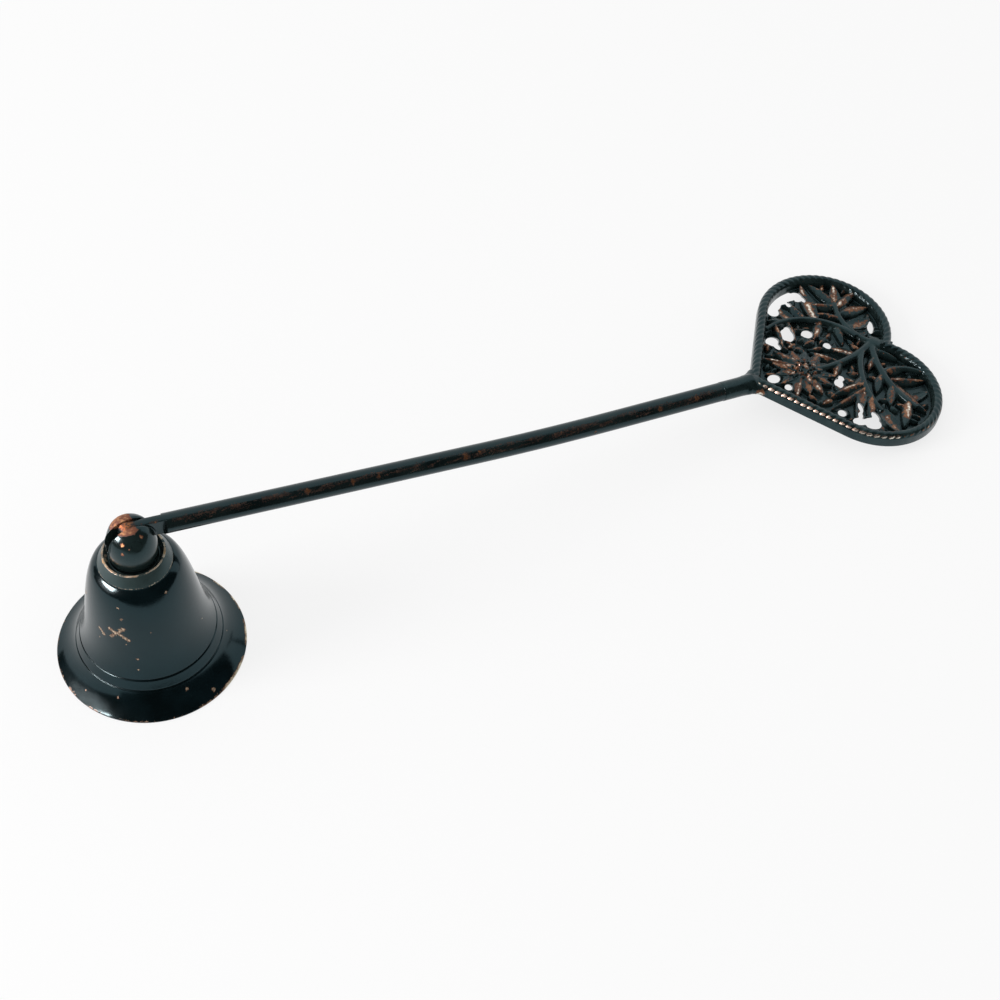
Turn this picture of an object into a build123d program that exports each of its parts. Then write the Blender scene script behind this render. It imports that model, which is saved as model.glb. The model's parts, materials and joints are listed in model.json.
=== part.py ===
from build123d import *
from math import asin, atan2, cos, degrees, hypot, radians, sin, sqrt, tan
import os

# Bell cup, a spun shell that stands on its mouth: outer radii and the heights where they are reached
mouth_radius = 24.0
mouth_edge_height = 0.4
lower_line_radius = 18.5
lower_line_height = 6.0
upper_line_radius = 17.2
upper_line_height = 8.8
waist_radius = 14.75
waist_height = 18.0
shoulder_radius = 12.55
shoulder_height = 30.0
crown_radius = 10.2
cup_height = 36.2
cup_wall = 1.1
engraved_line_radius = 0.22
inside_steps = 8

# Crown collar, a conical ring with a dished top
collar_base_radius = 9.3
collar_top_radius = 7.8
collar_height = 3.2
collar_lip = 0.5
dish_floor_radius = 6.4
dish_depth = 1.4

# Hinge ball on its pedestal, with a stud below
ball_radius = 6.4
ball_rise = 6.0
pedestal_radius = 6.1
slot_web = 2.9
stud_radius = 2.5
stud_clearance = 0.15
stud_end = 1.0

# Washer and nut on the stud
washer_radius = 5.0
washer_thickness = 1.0
nut_across_flats = 8.0
nut_height = 4.0
thread_gap = 0.05

# Hinge pin above the ball's middle
pin_radius = 1.2
pin_offset = 3.45
pin_running_gap = 0.05

# Handle rod with a milled tongue, a gentle bend and a spigot
rod_radius = 2.55
tongue_thickness = 2.2
tongue_side_gap = 0.2
tongue_length = 8.6
hinge_to_bend = 114.3
bend_angle = 3.4
bend_radius = 680.0
bend_to_tip = 62.9
spigot_radius = 1.5
spigot_length = 6.0
spigot_gap = 0.03
spigot_end_gap = 0.4

# Heart grip, an openwork casting in its own plane: x from the tip, y across
lobe_radius = 18.95
lobe_centre_along = 32.45
lobe_overlap = 5.8
rim_width = 2.8
rim_thickness = 4.1
rim_edge_radius = 0.9
cleft_radius = 2.5
neck_length = 9.0
neck_blend_radius = 2.5
stem_width = 2.0
stem_thickness = 2.8
leaf_thickness = 2.0
flower_radius = 3.2
flower_thickness = 3.6
petal_count = 11
petal_length = 5.4
petal_width = 3.0
root_radius = 2.6

# Stems as three points each, in shares of the heart's length and half width, from the root by the cleft
stem_layout = [
    ((0.91, 0.00), (0.85, 0.06), (0.80, 0.08)),
    ((0.82, 0.06), (0.74, 0.30), (0.77, 0.60)),
    ((0.75, 0.19), (0.61, 0.46), (0.29, 0.51)),
    ((0.80, 0.08), (0.60, -0.03), (0.33, -0.03)),
    ((0.72, 0.02), (0.61, -0.28), (0.58, -0.66)),
    ((0.80, 0.06), (0.74, -0.28), (0.78, -0.72)),
    ((0.745, -0.26), (0.85, -0.27), (0.95, -0.38)),
]

# Leaves as base and tip in the same shares, and width as a share of the heart's length
leaf_layout = [
    ((0.60, 0.46), (0.66, 0.90), 0.095),
    ((0.55, 0.50), (0.53, 0.735), 0.085),
    ((0.48, 0.53), (0.435, 0.72), 0.085),
    ((0.44, 0.55), (0.33, 0.61), 0.060),
    ((0.44, 0.55), (0.41, 0.32), 0.055),
    ((0.36, 0.54), (0.31, 0.27), 0.045),
    ((0.62, 0.45), (0.52, 0.29), 0.075),
    ((0.736, 0.42), (0.63, 0.55), 0.070),
    ((0.76, 0.55), (0.84, 0.81), 0.080),
    ((0.743, 0.48), (0.94, 0.48), 0.100),
    ((0.74, 0.33), (0.90, 0.34), 0.100),
    ((0.745, 0.24), (0.84, 0.21), 0.060),
    ((0.762, 0.57), (0.65, 0.66), 0.070),
    ((0.762, 0.57), (0.71, 0.89), 0.075),
    ((0.757, 0.55), (0.93, 0.67), 0.075),
    ((0.684, 0.36), (0.65, 0.15), 0.060),
    ((0.674, 0.00), (0.56, 0.14), 0.060),
    ((0.56, -0.03), (0.44, 0.16), 0.075),
    ((0.57, -0.03), (0.47, -0.18), 0.060),
    ((0.62, -0.24), (0.49, -0.37), 0.070),
    ((0.60, -0.33), (0.37, -0.37), 0.070),
    ((0.593, -0.37), (0.33, -0.49), 0.060),
    ((0.60, -0.36), (0.42, -0.66), 0.065),
    ((0.59, -0.46), (0.48, -0.72), 0.065),
    ((0.58, -0.60), (0.59, -0.92), 0.100),
    ((0.74, -0.26), (0.63, -0.45), 0.070),
    ((0.745, -0.42), (0.65, -0.62), 0.070),
    ((0.765, -0.62), (0.64, -0.87), 0.080),
    ((0.738, -0.36), (0.82, -0.78), 0.100),
    ((0.75, -0.27), (0.90, -0.28), 0.075),
    ((0.738, -0.34), (0.94, -0.46), 0.075),
    ((0.757, -0.60), (0.91, -0.58), 0.070),
    ((0.79, 0.01), (0.88, -0.17), 0.060),
    ((0.77, -0.08), (0.68, -0.20), 0.055),
    ((0.33, -0.03), (0.165, 0.225), 0.060),
    ((0.33, -0.03), (0.25, 0.27), 0.055),
    ((0.33, -0.03), (0.185, -0.29), 0.060),
]
flower_centre = (0.33, -0.03)
root_centre = (0.82, 0.07)

# Heights up the bell's axis, and how far its hollow runs out below the mouth
mouth_overrun = 2 * cup_wall
crown_inside = cup_height - cup_wall
collar_top = cup_height + collar_height
dish_floor = collar_top - dish_depth
ball_height = dish_floor + ball_rise
slot_floor = dish_floor + slot_web
pivot_height = ball_height + pin_offset
slot_width = tongue_thickness + 2 * tongue_side_gap
stud_hole_radius = stud_radius + stud_clearance
washer_bottom = crown_inside - washer_thickness
nut_bottom = washer_bottom - nut_height
stud_bottom = nut_bottom - stud_end

# Heart outline: the sides run from the tip, tangent to the lobes, which overlap at the cleft
lobe_centre_across = lobe_radius - lobe_overlap
heart_length = lobe_centre_along + lobe_radius
heart_half_width = lobe_centre_across + lobe_radius
lobe_distance = hypot(lobe_centre_along, lobe_centre_across)
side_angle = atan2(lobe_centre_across, lobe_centre_along) + asin(lobe_radius / lobe_distance)

# Slope of the handle, for which the far end of the heart rests on the table
bend = radians(bend_angle)
far_reach = bend_to_tip + heart_length
level_arm = hinge_to_bend + far_reach * cos(bend) + rim_thickness / 2 * sin(bend)
rise_arm = rim_thickness / 2 * cos(bend) - far_reach * sin(bend)
rod_slope = asin(pivot_height / hypot(level_arm, rise_arm)) - atan2(rise_arm, level_arm)
heart_slope = rod_slope - bend

# Planes of the handle: one in which the rod bends, one square across its far end, one of the heart
pivot = Vector(0, 0, pivot_height)
rod_direction = Vector(cos(rod_slope), 0, -sin(rod_slope))
heart_direction = Vector(cos(heart_slope), 0, -sin(heart_slope))
heart_normal = Vector(sin(heart_slope), 0, cos(heart_slope))
heart_tip = pivot + rod_direction * hinge_to_bend + heart_direction * bend_to_tip
rod_end = heart_tip - heart_direction * neck_length
handle_plane = Plane(origin=pivot, x_dir=rod_direction, z_dir=(0, -1, 0))
rod_end_plane = Plane(origin=rod_end, x_dir=(0, 1, 0), z_dir=heart_direction)
heart_plane = Plane(origin=heart_tip, x_dir=heart_direction, z_dir=heart_normal)


def heart_edge(inset):
    """The edges of the heart's outline, moved in by the inset, in the heart's plane."""
    radius = lobe_radius - inset
    tip = inset / sin(side_angle)
    cleft = lobe_centre_along + sqrt(radius**2 - lobe_centre_across**2)
    start_angle = side_angle + radians(90)
    middle_angle = (start_angle - asin(lobe_centre_across / radius)) / 2
    with BuildLine() as outline:
        for side in (1, -1):
            side_end = (
                lobe_centre_along + radius * cos(start_angle),
                side * (lobe_centre_across + radius * sin(start_angle)),
            )
            lobe_middle = (
                lobe_centre_along + radius * cos(middle_angle),
                side * (lobe_centre_across + radius * sin(middle_angle)),
            )
            Line((tip, 0), side_end)
            ThreePointArc(side_end, lobe_middle, (cleft, 0))
    return outline.edges()


def spot(shares):
    """A point of the heart's plane from its shares of the heart's length and half width."""
    return Vector(shares[0] * heart_length, shares[1] * heart_half_width)


def leaf_blade(base, tip, width):
    """The two arcs of a pointed leaf between two points of the heart's plane."""
    middle = (base + tip) / 2
    half = (tip - base).normalized().rotate(Axis.Z, 90) * (width / 2)
    with BuildLine() as blade:
        ThreePointArc(base, middle + half, tip)
        ThreePointArc(tip, middle - half, base)
    return blade.edges()


# Section of the bell: its outside, and a hollow at the wall's thickness that runs out of the mouth
with BuildSketch(Plane.XZ) as bell_outside:
    with BuildLine():
        side_wall = Spline(
            (lower_line_radius, lower_line_height),
            (upper_line_radius, upper_line_height),
            (waist_radius, waist_height),
            (shoulder_radius, shoulder_height),
            (crown_radius, cup_height),
        )
        flare = TangentArc(side_wall @ 0, (mouth_radius, mouth_edge_height), tangent=-(side_wall % 0))
        Polyline(flare @ 1, (mouth_radius, 0), (0, 0), (0, cup_height), side_wall @ 1)
    make_face()
with BuildSketch(Plane.XZ) as bell_hollow:
    with BuildLine():
        inside_points = []
        for step in range(inside_steps + 1):
            share = step / inside_steps
            inward = (side_wall % share).rotate(Axis.Z, 90)
            inside_points.append(side_wall @ share + inward * cup_wall)
        inside_wall = Spline(inside_points)
        inside_end = flare @ 1 + (flare % 1).rotate(Axis.Z, -90) * cup_wall
        TangentArc(inside_wall @ 0, inside_end, tangent=-(side_wall % 0))
        below_end = (inside_end.X, -mouth_overrun)
        Polyline(inside_end, below_end, (0, -mouth_overrun), (0, cup_height), inside_wall @ 1)
    make_face()
    with Locations((0, crown_inside)):
        Rectangle(mouth_radius, cup_wall, align=(Align.MIN, Align.MIN), mode=Mode.SUBTRACT)

# Bell cup: spun to that section, with two engraved lines round it and a hole for the stud
with BuildPart() as bell_cup:
    with BuildSketch(Plane.XZ):
        add(bell_outside.sketch_local)
        add(bell_hollow.sketch_local, mode=Mode.SUBTRACT)
        with Locations((lower_line_radius, lower_line_height), (upper_line_radius, upper_line_height)):
            Circle(engraved_line_radius, mode=Mode.SUBTRACT)
    revolve(axis=Axis.Z)
    with BuildSketch(Plane.XY.offset(crown_inside)):
        Circle(stud_hole_radius)
    extrude(amount=cup_wall, mode=Mode.SUBTRACT)

# Crown collar: a cone with a lip, dished on top round the ball's pedestal
with BuildPart() as crown_collar:
    with BuildSketch(Plane.XZ):
        with BuildLine():
            Polyline(
                (stud_hole_radius, cup_height),
                (collar_base_radius, cup_height),
                (collar_top_radius, collar_top),
                (collar_top_radius - collar_lip, collar_top),
                (dish_floor_radius, dish_floor),
                (stud_hole_radius, dish_floor),
                close=True,
            )
        make_face()
    revolve(axis=Axis.Z)

# Hinge ball: ball, pedestal and stud turned in one, slotted along the handle and drilled for the pin
with BuildPart() as hinge_ball:
    with BuildSketch(Plane.XY.offset(stud_bottom)):
        Circle(stud_radius)
    extrude(amount=dish_floor - stud_bottom)
    with BuildSketch(Plane.XY.offset(dish_floor)):
        Circle(pedestal_radius)
    extrude(amount=ball_rise)
    with Locations((0, 0, ball_height)):
        Sphere(ball_radius)
    with BuildSketch(Plane.XY.offset(slot_floor)):
        Rectangle(2 * ball_radius, slot_width)
    extrude(amount=ball_height + ball_radius - slot_floor, mode=Mode.SUBTRACT)
    with BuildSketch(handle_plane):
        Circle(pin_radius)
    extrude(amount=ball_radius, both=True, mode=Mode.SUBTRACT)

# Hinge pin: pressed into both ears, its ends finished flush with the ball
with BuildPart() as hinge_pin:
    with BuildSketch(handle_plane):
        Circle(pin_radius)
    extrude(amount=ball_radius, both=True)
    with Locations((0, 0, ball_height)):
        Sphere(ball_radius, mode=Mode.INTERSECT)

# Washer under the crown
with BuildPart() as stud_washer:
    with BuildSketch(Plane.XY.offset(washer_bottom)):
        Circle(washer_radius)
        Circle(stud_hole_radius, mode=Mode.SUBTRACT)
    extrude(amount=washer_thickness)

# Hexagon nut on the stud
with BuildPart() as stud_nut:
    with BuildSketch(Plane.XY.offset(nut_bottom)):
        RegularPolygon(nut_across_flats / 2, 6, major_radius=False)
        Circle(stud_radius + thread_gap, mode=Mode.SUBTRACT)
    extrude(amount=nut_height)

# Handle rod: one bar with a gentle bend, two flats that leave the tongue, a round eye and a spigot
bend_tangent = bend_radius * tan(bend / 2)
with BuildPart() as handle_rod:
    with BuildLine(handle_plane) as rod_path:
        near_run = Line((0, 0), (hinge_to_bend - bend_tangent, 0))
        bend_run = JernArc(near_run @ 1, near_run % 1, bend_radius, bend_angle)
        Line(bend_run @ 1, rod_end)
    with BuildSketch(Plane(origin=pivot, z_dir=rod_direction)):
        Circle(rod_radius)
    sweep(path=rod_path.wires()[0])
    for side in (1, -1):
        with BuildSketch(handle_plane.offset(side * tongue_thickness / 2)):
            Rectangle(tongue_length, 2 * rod_radius, align=(Align.MIN, Align.CENTER))
        extrude(amount=side * rod_radius, mode=Mode.SUBTRACT)
    with BuildSketch(handle_plane):
        Circle(rod_radius)
    extrude(amount=tongue_thickness / 2, both=True)
    with BuildSketch(handle_plane):
        Circle(pin_radius + pin_running_gap)
    extrude(amount=tongue_thickness / 2, both=True, mode=Mode.SUBTRACT)
    with BuildSketch(rod_end_plane):
        Circle(spigot_radius)
    extrude(amount=spigot_length)

# Heart grip: rim, leafwork and neck cast in one, drilled for the rod's spigot
with BuildPart() as heart_grip:
    with BuildSketch(heart_plane) as rim_sketch:
        make_face(heart_edge(0))
        cleft_corner = rim_sketch.vertices().sort_by_distance((heart_length, 0))[0]
        fillet(cleft_corner, cleft_radius)
        Rectangle(neck_length, 2 * rod_radius)
        neck_corners = rim_sketch.vertices().filter_by_position(Axis.X, 0, neck_length / 2, (False, False))
        fillet(neck_corners, neck_blend_radius)
        make_face(heart_edge(rim_width), mode=Mode.SUBTRACT)
    extrude(amount=rim_thickness / 2, both=True)
    rim_top = heart_grip.faces().sort_by(Axis(heart_tip, heart_normal))[-1]
    fillet(rim_top.outer_wire().edges(), rim_edge_radius)
    with BuildSketch(heart_plane):
        for start, middle, end in stem_layout:
            with BuildLine():
                ThreePointArc(spot(start), spot(middle), spot(end))
            trace(line_width=stem_width)
        with Locations(spot(root_centre)):
            Circle(root_radius)
    extrude(amount=stem_thickness / 2, both=True)
    with BuildSketch(heart_plane):
        for base, tip, width in leaf_layout:
            make_face(leaf_blade(spot(base), spot(tip), width * heart_length))
        for turn in range(petal_count):
            reach = Vector(flower_radius + petal_length, 0).rotate(Axis.Z, 360 * turn / petal_count)
            make_face(leaf_blade(spot(flower_centre), spot(flower_centre) + reach, petal_width))
    extrude(amount=leaf_thickness / 2, both=True)
    with BuildSketch(heart_plane):
        with Locations(spot(flower_centre)):
            Circle(flower_radius)
    extrude(amount=flower_thickness / 2, both=True)
    with BuildSketch(rod_end_plane):
        Circle(rod_radius)
    extrude(amount=neck_length)
    with Locations(heart_plane):
        Sphere(rod_radius)
    with BuildSketch(rod_end_plane):
        Circle(spigot_radius + spigot_gap)
    extrude(amount=spigot_length + spigot_end_gap, mode=Mode.SUBTRACT)

pieces = {
    "bell_cup": bell_cup,
    "crown_collar": crown_collar,
    "hinge_ball": hinge_ball,
    "hinge_pin": hinge_pin,
    "stud_washer": stud_washer,
    "stud_nut": stud_nut,
    "handle_rod": handle_rod,
    "heart_grip": heart_grip,
}
os.makedirs("parts", exist_ok=True)
for name, piece in pieces.items():
    piece.part.label = name
    export_step(piece.part, f"parts/{name}.step")

print(f"pivot {pivot_height:.3f} mm above the table, rod slope {degrees(rod_slope):.3f} degrees")
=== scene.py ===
import bpy
import bmesh
import json
import numpy as np
from math import asin, atan2, cos, hypot, pi, radians, sin, sqrt, tan
from mathutils import Matrix, Vector
from mathutils.kdtree import KDTree


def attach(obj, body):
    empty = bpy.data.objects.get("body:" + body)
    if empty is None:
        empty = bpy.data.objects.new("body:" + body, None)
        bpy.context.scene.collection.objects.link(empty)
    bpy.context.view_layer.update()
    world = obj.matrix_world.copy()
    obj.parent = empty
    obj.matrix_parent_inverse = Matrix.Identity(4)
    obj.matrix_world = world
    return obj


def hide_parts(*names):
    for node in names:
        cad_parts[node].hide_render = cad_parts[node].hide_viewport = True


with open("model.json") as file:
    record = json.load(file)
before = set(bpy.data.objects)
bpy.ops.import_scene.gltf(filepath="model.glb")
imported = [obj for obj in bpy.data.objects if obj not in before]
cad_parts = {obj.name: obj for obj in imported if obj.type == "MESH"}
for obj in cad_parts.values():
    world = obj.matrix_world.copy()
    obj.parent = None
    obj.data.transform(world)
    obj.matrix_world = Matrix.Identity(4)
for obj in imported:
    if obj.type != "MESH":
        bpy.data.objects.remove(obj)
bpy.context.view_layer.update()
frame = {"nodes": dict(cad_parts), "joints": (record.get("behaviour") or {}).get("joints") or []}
nodes = frame["nodes"]
mm = 0.001
print("frame loaded:", len(nodes), "CAD nodes")


# Small tools

def linear(hexColour):  # sRGB hex to linear rgba
    parts = [int(hexColour[i:i + 2], 16) / 255 for i in (1, 3, 5)]
    return [p / 12.92 if p <= 0.04045 else ((p + 0.055) / 1.055) ** 2.4 for p in parts] + [1.0]


# In a MapRange, sockets 1 and 2 hold what comes in and 3 and 4 what goes out.
def put(tree, kind, sockets=None, **settings):  # adds a node, sets it up, links what is given as a socket
    node = tree.nodes.new("ShaderNode" + kind)
    for key, value in settings.items():
        setattr(node, key, value)
    for key, value in (sockets or {}).items():
        if isinstance(value, bpy.types.NodeSocket):
            tree.links.new(value, node.inputs[key])
        else:
            node.inputs[key].default_value = value
    return node


def ringFaces(rowCount, around, loop):  # quads between rows of points, each row closed on itself
    row = np.arange(rowCount if loop else rowCount - 1)[:, None]
    here = np.arange(around)[None, :]
    beside = (here + 1) % around
    below = row * around
    above = ((row + 1) % rowCount) * around
    return np.stack([below + here, below + beside, above + beside, above + here], 2).reshape(-1, 4).tolist()


def tubeMesh(rows, loop=False):  # closed skin over rows of points
    rows = np.asarray(rows, float)
    count, around = rows.shape[:2]
    faces = ringFaces(count, around, loop)
    if not loop:
        faces.append(list(range(around))[::-1])
        faces.append(list(range((count - 1) * around, count * around)))
    return rows.reshape(-1, 3), faces


def newMesh(name, verts, faces):  # a mesh in metres with its faces turned outwards
    mesh = bpy.data.meshes.new(name)
    mesh.from_pydata((np.asarray(verts) * mm).tolist(), [], faces)
    shape = bmesh.new()
    shape.from_mesh(mesh)
    bmesh.ops.recalc_face_normals(shape, faces=shape.faces)
    shape.to_mesh(mesh)
    shape.free()
    return mesh


def newPiece(name, mesh, node, body, material, sharpAngle=40):
    piece = bpy.data.objects.new(name, mesh)
    bpy.context.scene.collection.objects.link(piece)
    mesh.shade_smooth()
    mesh.set_sharp_from_angle(angle=radians(sharpAngle))
    mesh.materials.clear()
    mesh.materials.append(material)
    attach(piece, body)
    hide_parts(node)


def applied(piece):  # the mesh that the modifiers give, with none left on the piece
    graph = bpy.context.evaluated_depsgraph_get()
    mesh = bpy.data.meshes.new_from_object(piece.evaluated_get(graph))
    piece.modifiers.clear()
    piece.data = mesh
    return mesh


def curveThrough(points, shares):  # natural cubic through the points, by chord length
    points = np.array(points, float)
    gaps = np.linalg.norm(np.diff(points, axis=0), axis=1)
    knots = np.concatenate([[0], np.cumsum(gaps)])
    count = len(points)
    system = np.eye(count)
    target = np.zeros_like(points)
    for i in range(1, count - 1):
        system[i, i - 1:i + 2] = gaps[i - 1], 2 * (gaps[i - 1] + gaps[i]), gaps[i]
        target[i] = 6 * ((points[i + 1] - points[i]) / gaps[i] - (points[i] - points[i - 1]) / gaps[i - 1])
    bends = np.linalg.solve(system, target)
    places = np.asarray(shares) * knots[-1]
    span = np.clip(np.searchsorted(knots, places, side="right") - 1, 0, count - 2)
    gap = gaps[span][:, None]
    before = (places - knots[span])[:, None]
    after = gap - before
    return (bends[span] * after ** 3 + bends[span + 1] * before ** 3) / (6 * gap) \
        + (points[span] / gap - bends[span] * gap / 6) * after \
        + (points[span + 1] / gap - bends[span + 1] * gap / 6) * before


def rounded(corners, steps=5):  # outline from (x, y, radius) corners, with an arc at each radius
    outline = []
    count = len(corners)
    for i, (x, y, radius) in enumerate(corners):
        here = np.array([x, y])
        if radius == 0:
            outline.append(here)
            continue
        back = np.array(corners[i - 1][:2]) - here
        on = np.array(corners[(i + 1) % count][:2]) - here
        back, on = back / np.linalg.norm(back), on / np.linalg.norm(on)
        half = np.arccos(np.clip(back @ on, -1, 1)) / 2
        middle = here + (back + on) / np.linalg.norm(back + on) * radius / sin(half)
        first = here + back * radius / tan(half) - middle
        last = here + on * radius / tan(half) - middle
        for share in np.linspace(0, 1, steps):
            arm = first * (1 - share) + last * share
            outline.append(middle + arm / np.linalg.norm(arm) * radius)
    return np.array(outline)


def lathe(outline, around):  # a closed outline of (radius, height) turned about the bell's axis
    outline = np.asarray(outline)
    turn = np.linspace(0, 2 * pi, around, endpoint=False)
    rows = np.stack([
        outline[:, :1] * np.cos(turn),
        outline[:, :1] * np.sin(turn),
        np.repeat(outline[:, 1:], around, axis=1),
    ], 2)
    return tubeMesh(rows, loop=True)


# Finishes

# Lacquer brushed on brass and polished: deep black-green, with teal reflections and brown wear.
lacquer = dict(
    dark="#050b0c", light="#0a1518", sheen="#b8f0ff", ior=1.45, rough=0.14, mottleMm=9.0,
    copper="#5a3425", paleCopper="#8f5c3f", brass="#d2b07e", metal=0.55, wornRough=0.46,
    grainMm=0.35, peelMm=1.3, peelDeepMm=0.12, bump=0.12,  # drawn coarser than life, to show
    level=0.62, edgeSoft=0.12, brassFrom=0.3, brassFull=0.7, ragged=0.7,
)


def blankMaterial(name):
    material = bpy.data.materials.new(name)
    material.use_nodes = True
    material.node_tree.nodes.clear()
    return material, material.node_tree


def inMm(tree, coords):  # the place on the piece, in mm
    metres = coords.outputs["Object"]
    return put(tree, "VectorMath", {0: metres, "Scale": 1 / mm}, operation="SCALE").outputs[0]


def clouds(tree, place, sizeMm, edges, span=(0.0, 1.0), detail=4.0, rough=0.5):  # patches of noise
    noise = put(tree, "TexNoise", {
        "Vector": place, "Scale": 1 / sizeMm, "Detail": detail, "Roughness": rough,
    })
    (low, high), (least, most) = edges, span
    return put(tree, "MapRange", {0: noise.outputs[0], 1: low, 2: high, 3: least, 4: most}).outputs[0]


def strongest(tree, *masks):  # the highest of the masks at each place
    total = masks[0]
    for mask in masks[1:]:
        total = put(tree, "Math", {0: total, 1: mask}, operation="MAXIMUM").outputs[0]
    return total


def lacquerFinish(name, look, wornMask):
    material, tree = blankMaterial(name)
    coords = put(tree, "TexCoord")
    place = inMm(tree, coords)
    mask = wornMask(tree, place, coords.outputs["Normal"])
    jitter = clouds(tree, place, look["grainMm"], (0.3, 0.7), (-0.5, 0.5), detail=5.0)
    ragged = put(tree, "Math", {0: jitter, 1: look["ragged"], 2: mask}, operation="MULTIPLY_ADD").outputs[0]
    level, soft = look["level"], look["edgeSoft"]
    worn = put(tree, "MapRange", {0: ragged, 1: level - soft, 2: level + soft},
               interpolation_type="SMOOTHSTEP").outputs[0]
    shade = clouds(tree, place, look["mottleMm"], (0.35, 0.65))
    skin = put(tree, "Mix", {0: shade, 6: linear(look["dark"]), 7: linear(look["light"])}, data_type="RGBA")
    patch = clouds(tree, place, 3 * look["grainMm"], (0.4, 0.66), detail=3.0)  # a patch spans three grains
    bare = put(tree, "Mix", {0: patch, 6: linear(look["copper"]), 7: linear(look["paleCopper"])},
               data_type="RGBA")
    # where the mask runs highest the colour turns to brass; on the heart that colour is near white and
    # paints highlights
    brassFrom, brassFull = level + look["brassFrom"], level + look["brassFull"]
    rubbed = put(tree, "MapRange", {0: ragged, 1: brassFrom, 2: brassFull}).outputs[0]
    metal = put(tree, "Mix", {0: rubbed, 6: bare.outputs[2], 7: linear(look["brass"])}, data_type="RGBA")
    colour = put(tree, "Mix", {0: worn, 6: skin.outputs[2], 7: metal.outputs[2]}, data_type="RGBA")
    metallic = put(tree, "MapRange", {0: rubbed, 3: look["metal"], 4: 1.0}).outputs[0]
    metallic = put(tree, "Math", {0: worn, 1: metallic}, operation="MULTIPLY").outputs[0]
    smear = put(tree, "MapRange", {0: shade, 3: look["rough"] * 0.8, 4: look["rough"] * 1.3}).outputs[0]
    rough = put(tree, "Mix", {0: worn, 2: smear, 3: look["wornRough"]}, data_type="FLOAT").outputs[0]
    peel = put(tree, "TexNoise", {"Vector": place, "Scale": 1 / look["peelMm"], "Detail": 3.0})
    height = put(tree, "Math", {0: worn, 1: -0.5, 2: peel.outputs[0]}, operation="MULTIPLY_ADD").outputs[0]
    deep = look["peelDeepMm"] * mm
    bump = put(tree, "Bump", {"Height": height, "Strength": look["bump"], "Distance": deep})
    shader = put(tree, "BsdfPrincipled", {
        "Base Color": colour.outputs[2], "Metallic": metallic, "Roughness": rough, "IOR": look["ior"],
        "Specular Tint": linear(look["sheen"]), "Normal": bump.outputs[0],
    })
    put(tree, "OutputMaterial", {0: shader.outputs[0]})
    return material


def pulledAbout(tree, place, byMm, sizeMm):  # the place moved about by noise, which makes edges uneven
    warp = put(tree, "TexNoise", {"Vector": place, "Scale": 1 / sizeMm, "Detail": 2.0})
    centred = put(tree, "VectorMath", {0: warp.outputs["Color"], 1: (0.5, 0.5, 0.5)}, operation="SUBTRACT")
    return put(tree, "VectorMath", {0: centred.outputs[0], 1: (2 * byMm,) * 3, 2: place},
               operation="MULTIPLY_ADD").outputs[0]


def spots(tree, place, marks, pullMm=0.5, pullSizeMm=0.8, core=0.3):  # soft round marks
    pulled = pulledAbout(tree, place, pullMm, pullSizeMm)
    masks = []
    for point, size in marks:
        reach = put(tree, "VectorMath", {0: pulled, 1: point}, operation="DISTANCE").outputs["Value"]
        masks.append(put(tree, "MapRange", {0: reach, 1: size, 2: core * size}).outputs[0])
    return strongest(tree, *masks)


def strokes(tree, place, lines, pullMm=0.45, pullSizeMm=0.7, core=0.2):  # scratches between two points
    pulled = pulledAbout(tree, place, pullMm, pullSizeMm)
    masks = []
    for start, end, width in lines:
        start, run = np.array(start), np.array(end) - np.array(start)
        away = put(tree, "VectorMath", {0: pulled, 1: start}, operation="SUBTRACT").outputs[0]
        along = put(tree, "VectorMath", {0: away, 1: run / (run @ run)}, operation="DOT_PRODUCT")
        share = put(tree, "Clamp", {0: along.outputs["Value"]}).outputs[0]
        nearest = put(tree, "VectorMath", {0: run, "Scale": share}, operation="SCALE").outputs[0]
        reach = put(tree, "VectorMath", {0: away, 1: nearest}, operation="DISTANCE").outputs["Value"]
        masks.append(put(tree, "MapRange", {0: reach, 1: width, 2: core * width}).outputs[0])
    return strongest(tree, *masks)


def axisRadius(tree, place):  # distance from the bell's axis, in mm
    flat = put(tree, "VectorMath", {0: place, 1: (1, 1, 0)}, operation="MULTIPLY").outputs[0]
    return put(tree, "VectorMath", {0: flat}, operation="LENGTH").outputs["Value"]


# Bell cup: spun brass, its side a smooth curve that flares to the mouth

bell = dict(
    sidePoints=[(18.5, 6.0), (17.2, 8.8), (14.75, 18.0), (12.55, 30.0), (11.5, 33.4), (10.6, 35.1),
                (9.4, 36.2)],
    mouthRadius=24.0, mouthEdge=0.4, wall=1.1, boreRadius=2.65, lipRound=0.16, innerLipRound=0.05,
    crownRound=0.7, crownClear=0.6, boreRound=0.1, lineDepth=0.2, lineHalf=0.17, around=224,
    rows=80, lineRows=50, lineShare=0.16,  # the rows are closer together by the engraved lines
    rimWorn=(0.75, 0.1), rimPatchMm=5.0, rightSide=(2.0, 17.0), rightGain=(0.85, 3.0), fleckMm=2.2,
    chips=[  # azimuth in degrees, height, size: nicks in the lacquer
        (-158, 18.8, 0.45), (-127, 20.1, 0.4), (-72, 33.8, 0.7), (168, 27.0, 1.2), (-134, 31.7, 0.5),
        (-130, 28.5, 0.5), (-101, 24.2, 0.35), (-41, 16.4, 0.35), (-118, 15.4, 0.6), (-118, 12.0, 0.35),
        (-84, 4.1, 0.8), (-68, 1.3, 0.8), (-135, 3.8, 0.6), (-160, 2.0, 0.4), (-24, 4.6, 0.4),
        (60, 20.0, 0.8), (95, 12.0, 0.6), (120, 26.0, 0.7), (20, 24.0, 0.6),
    ],
    scratches=[  # azimuth and height of both ends, width
        (-144.5, 24.1, -131, 22.9, 0.95), (-129, 25.4, -143, 21.7, 0.95), (-131, 22.9, -124.5, 21.6, 0.85),
        (-158, 22.4, -152, 20.9, 0.8),
    ],
)
# the polished lacquer at its deepest: nicks show dull brown, and the rim a pale line
bellLook = dict(lacquer, copper="#6a4a35", paleCopper="#806853", brass="#d8ccb4", metal=0.25)


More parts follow.
